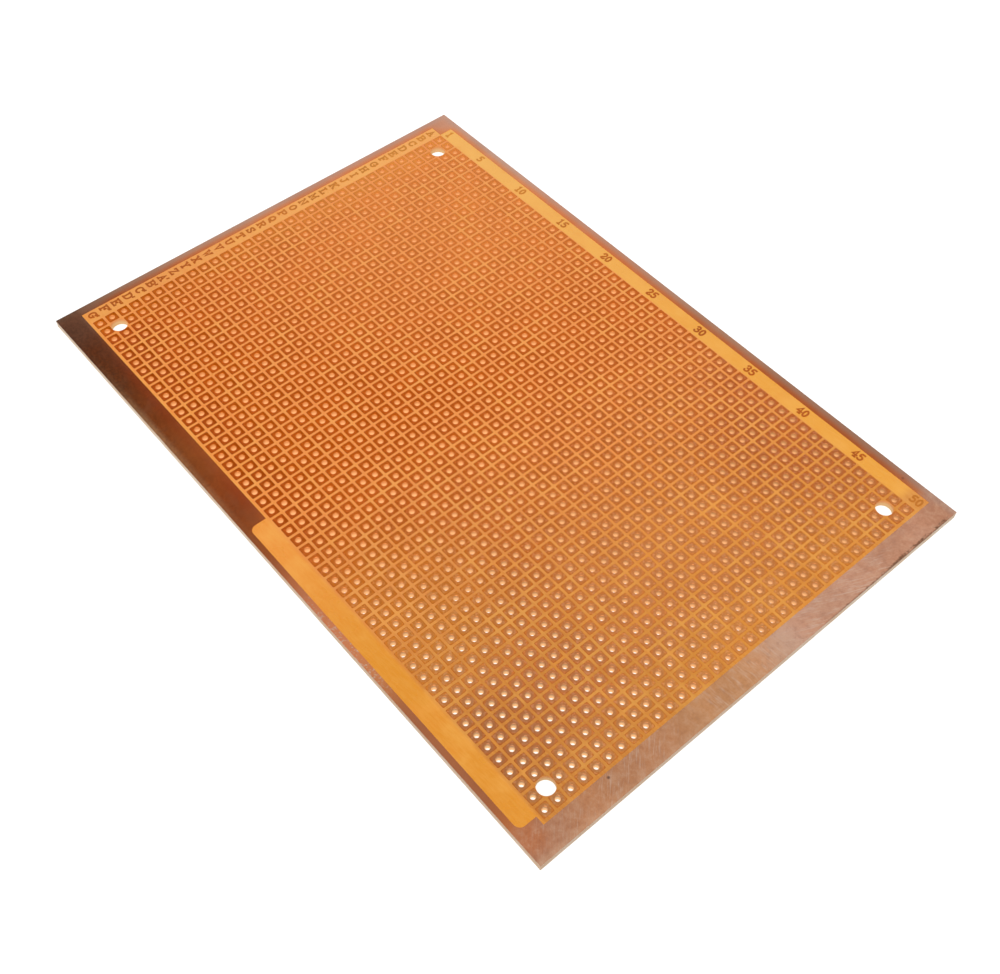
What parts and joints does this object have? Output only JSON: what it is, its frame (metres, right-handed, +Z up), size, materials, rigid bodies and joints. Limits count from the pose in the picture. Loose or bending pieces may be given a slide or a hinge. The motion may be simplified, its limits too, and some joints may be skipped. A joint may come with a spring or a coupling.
{
  "type": "prototype board",
  "caption": "Single-sided prototype board: a drilled phenolic paper sheet with separate square copper pads, a copper border and a mounting hole near each corner.",
  "frame": {"origin": "middle of the underside of the board", "axes": "+Z up out of the copper side; +X along the numbered columns, from 1 to 50; the lettered rows run from +Y to -Y"},
  "size_m": [0.1362, 0.0932, 0.0015],
  "materials": {
    "laminate": "amber phenolic paper, satin resin skin with faint paper fibre, paler and rough where it is cut or drilled",
    "copper_foil": "bare copper foil under a thin amber flux lacquer, finely brushed and slightly tarnished"
  },
  "bodies": {
    "root": {"laminate": "laminate", "copper_border": "copper_foil", "pads_row_a": "copper_foil", "pads_row_b": "copper_foil", "pads_row_c": "copper_foil", "pads_row_d": "copper_foil", "pads_row_e": "copper_foil", "pads_row_f": "copper_foil", "pads_row_g": "copper_foil", "pads_row_h": "copper_foil", "pads_row_i": "copper_foil", "pads_row_j": "copper_foil", "pads_row_k": "copper_foil", "pads_row_l": "copper_foil", "pads_row_m": "copper_foil", "pads_row_n": "copper_foil", "pads_row_o": "copper_foil", "pads_row_p": "copper_foil", "pads_row_q": "copper_foil", "pads_row_r": "copper_foil", "pads_row_s": "copper_foil", "pads_row_t": "copper_foil", "pads_row_u": "copper_foil", "pads_row_v": "copper_foil", "pads_row_w": "copper_foil", "pads_row_x": "copper_foil", "pads_row_y": "copper_foil", "pads_row_z": "copper_foil", "pads_row_a_prime": "copper_foil", "pads_row_b_prime": "copper_foil", "pads_row_c_prime": "copper_foil", "pads_row_d_prime": "copper_foil", "pads_row_e_prime": "copper_foil", "pads_row_f_prime": "copper_foil", "pads_row_g_prime": "copper_foil"}
  },
  "joints": []
}
